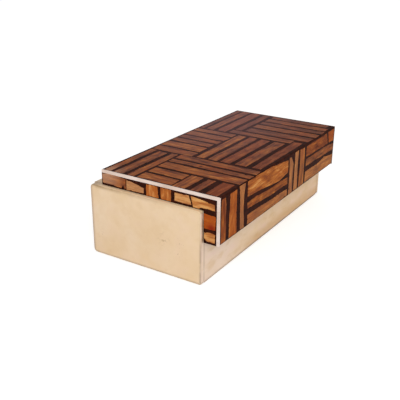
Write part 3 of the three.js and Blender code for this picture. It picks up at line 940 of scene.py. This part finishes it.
def add_leaf(name, knuckles):
    """A leaf lying flat at the origin, with the hinge's axis along X and its plate out along +Y. It has
    room cut out for the other leaf's knuckles, and its screw holes are countersunk."""
    leaf = add_block(name, (-LEAF_ENDS, LEAF_START, -AXIS_RISE),
                     (LEAF_ENDS, LEAF_REACH, LEAF_THICK - AXIS_RISE))
    ease(leaf, lambda a, b: abs(a.z - b.z) > NEAR and a.y > LEAF_START + NEAR, 1.2 * MM, 5)
    bpy.ops.object.mode_set(mode="OBJECT")
    past_end = 3.2 * KNUCKLE_ENDS
    gaps = [(-past_end, -KNUCKLE_ENDS), (KNUCKLE_ENDS, past_end)]
    if len(knuckles) == 2:
        gaps = [(-KNUCKLE_ENDS, KNUCKLE_ENDS)]
    for start, finish in gaps:
        low = (start - KNUCKLE_GAP, -4 * MM, -4 * MM)
        high = (finish + KNUCKLE_GAP, KNUCKLE + 0.2 * MM, 4 * MM)
        cut_away(leaf, add_block("room", low, high))
    for offset in (-SCREW_APART, SCREW_APART):
        bpy.ops.object.select_all(action="DESELECT")
        bpy.ops.mesh.primitive_cone_add(vertices=ALL_ROUND, radius1=0.7 * MM, radius2=1.75 * MM,
                                        depth=1.4 * MM, location=(offset, SCREW_OUT, -1.22 * MM))
        cut_away(leaf, bpy.context.object)
    finish_modifier(leaf, "BEVEL", width=0.12 * MM, segments=2, limit_method="ANGLE")
    take(leaf, *(add_knuckle(start, finish) for start, finish in knuckles))
    bpy.ops.object.join()
    smooth_off()
    wear_material(leaf, brass)
    return leaf


def add_screw():
    """A countersunk screw with a slotted head, its face at the origin, pointing down."""
    shank, sides, length, neck, head = 0.75 * MM, 24, 5.6 * MM, 0.9 * MM, 0.8 * MM
    screw = add_rod(shank, length, (0, 0, -neck - length / 2), (0, 0, 0), sides)
    pick(screw, "FACE", lambda centre, normal: normal.z > FACING)
    bpy.ops.mesh.extrude_region_move(TRANSFORM_OT_translate={"value": (0, 0, head)})
    bpy.ops.transform.resize(value=(2, 2, 1))
    bpy.ops.mesh.bevel(offset=0.06 * MM, segments=2, affect="EDGES")
    bpy.ops.object.mode_set(mode="OBJECT")
    cut_away(screw, add_block("slot", (-2 * MM, -0.2 * MM, -0.45 * MM), (2 * MM, 0.2 * MM, 1 * MM)))
    smooth_off()
    wear_material(screw, brass)
    return screw


def set_copy(model, name, turn, place, body, node):
    """A copy of the model with a mesh of its own, put in place for a node that it stands for."""
    copy = model.copy()
    copy.data = model.data.copy()
    copy.name = name
    bpy.context.collection.objects.link(copy)
    copy.rotation_euler = turn
    copy.location = place
    take(copy)
    settle()
    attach(copy, body)
    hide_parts(node)


rim_leaf = add_leaf("rim_leaf", [(-LEAF_ENDS, -KNUCKLE_ENDS - KNUCKLE_GAP),
                                 (KNUCKLE_ENDS + KNUCKLE_GAP, LEAF_ENDS)])
lid_leaf = add_leaf("lid_leaf", [(KNUCKLE_GAP - KNUCKLE_ENDS, KNUCKLE_ENDS - KNUCKLE_GAP)])
# The lid's leaf lies the other way up, so that its plate meets the lid's edge when it stands upright
mirror(lid_leaf, 2)
pin = add_rod(PIN, LEAF_LENGTH - 0.4 * MM, (0, 0, 0))
pick(pin, "FACE", lambda centre, normal: abs(normal.x) > FACING)
bpy.ops.mesh.bevel(offset=0.25 * MM, segments=3, affect="EDGES")
smooth_off()
wear_material(pin, brass)
screw = add_screw()
for end, side in (("left", -1), ("right", 1)):
    axis = Vector((side * HINGE_X, HINGE_AXIS_Y, HINGE_AXIS_Z))
    set_copy(rim_leaf, end + "_rim_leaf", (0, 0, 0), axis, "base", end + "_hinge_base_leaf")
    set_copy(lid_leaf, end + "_lid_leaf", (math.pi / 2, 0, 0), axis, "lid", end + "_hinge_lid_leaf")
    set_copy(pin, end + "_pin", (0, 0, 0), axis, "base", end + "_hinge_pin")
    for number, offset in ((1, -SCREW_APART), (2, SCREW_APART)):
        rim_spot = axis + Vector((offset, SCREW_OUT, LEAF_THICK - AXIS_RISE))
        lid_spot = axis + Vector((offset, LEAF_THICK - AXIS_RISE, SCREW_OUT))
        turn = chance.uniform(-1, 1)
        set_copy(screw, f"{end}_rim_screw_{number}", (0, 0, turn), rim_spot, "base",
                 f"{end}_hinge_base_screw_{number}")
        set_copy(screw, f"{end}_lid_screw_{number}", (-math.pi / 2, turn, 0), lid_spot, "lid",
                 f"{end}_hinge_lid_screw_{number}")
for model in (rim_leaf, lid_leaf, pin, screw):
    bpy.data.objects.remove(model)


# The stage: a wide pale floor under the felt, which takes the box's soft shadow and is white to the
# camera. It isn't part of the box.
FLOOR_RADIUS = 7
FLOOR_GLOW = 0.55


def seen_plainly(tree):
    """1 for what the camera sees, straight or in gloss or glass, and 0 for the light on the box."""
    path = tree.nodes.new("ShaderNodeLightPath").outputs
    seen = sums(tree, "MAXIMUM", path["Is Camera Ray"], path["Is Glossy Ray"])
    return sums(tree, "MAXIMUM", seen, path["Is Transmission Ray"])


bpy.ops.object.select_all(action="DESELECT")
bpy.ops.mesh.primitive_circle_add(vertices=64, radius=FLOOR_RADIUS, fill_type="NGON",
                                  location=(0, 0, -0.2 * MM))
ground = bpy.context.object
ground.name = "ground"
ground_material, tree, shader = new_material("pale_floor", 0.9)
shader.inputs["Base Color"].default_value = (0.8, 0.8, 0.8, 1)
shader.inputs["Specular IOR Level"].default_value = 0
shader.inputs["Emission Color"].default_value = (1, 1, 1, 1)
# The lamps reach the far floor less, so that it glows a little more there
near_box = near_point(tree, placed(tree), (0, 0, 0), 1.6)
glow = sums(tree, "SUBTRACT", FLOOR_GLOW, times(tree, near_box, 0.1))
tree.links.new(times(tree, seen_plainly(tree), glow), shader.inputs["Emission Strength"])
wear_material(ground, ground_material)


# Soft studio light: an even room, white to the camera and half as strong on the box, with a large lamp
# at the front left and a weaker one at the right.
ROOM_LIGHT = 0.55
world = bpy.data.worlds.new("studio")
bpy.context.scene.world = world
world.use_nodes = True
tree = world.node_tree
strength = sums(tree, "ADD", times(tree, seen_plainly(tree), 1 - ROOM_LIGHT), ROOM_LIGHT)
tree.links.new(strength, tree.nodes["Background"].inputs["Strength"])
tree.nodes["Background"].inputs["Color"].default_value = (1, 1, 1, 1)


def add_lamp(name, place, size, energy):
    """A square soft lamp that faces the box."""
    bpy.ops.object.light_add(type="AREA", location=place)
    lamp = bpy.context.object
    lamp.name = name
    lamp.data.size = size
    lamp.data.energy = energy
    lamp.rotation_euler = (-Vector(place)).to_track_quat("-Z", "Y").to_euler()


add_lamp("key_lamp", (-1.5, -1.0, 1.1), size=1.2, energy=22)
add_lamp("fill_lamp", (0.9, -1.7, 1.0), size=1.2, energy=5.5)


# The camera, where the photographer stood: above the left end and a little to the front. Its place,
# turn and lens were fitted to the photo's corners.
CAMERA_PLACE = (-446.52 * MM, -263.17 * MM, 234.36 * MM)
CAMERA_TURN = math.radians(-57.764)
CAMERA_RISE = math.radians(22.694)
CAMERA_ROLL = math.radians(0.4)
bpy.ops.object.camera_add(location=CAMERA_PLACE)
camera = bpy.context.object
turned = Matrix.Rotation(CAMERA_TURN, 3, "Z") @ Matrix.Rotation(math.pi / 2 - CAMERA_RISE, 3, "X")
camera.rotation_euler = (turned @ Matrix.Rotation(CAMERA_ROLL, 3, "Z")).to_euler()
camera.data.lens = 57.61
camera.data.sensor_width = 36
camera.data.clip_start = 0.01
bpy.context.scene.camera = camera
bpy.context.scene.view_settings.view_transform = "Standard"
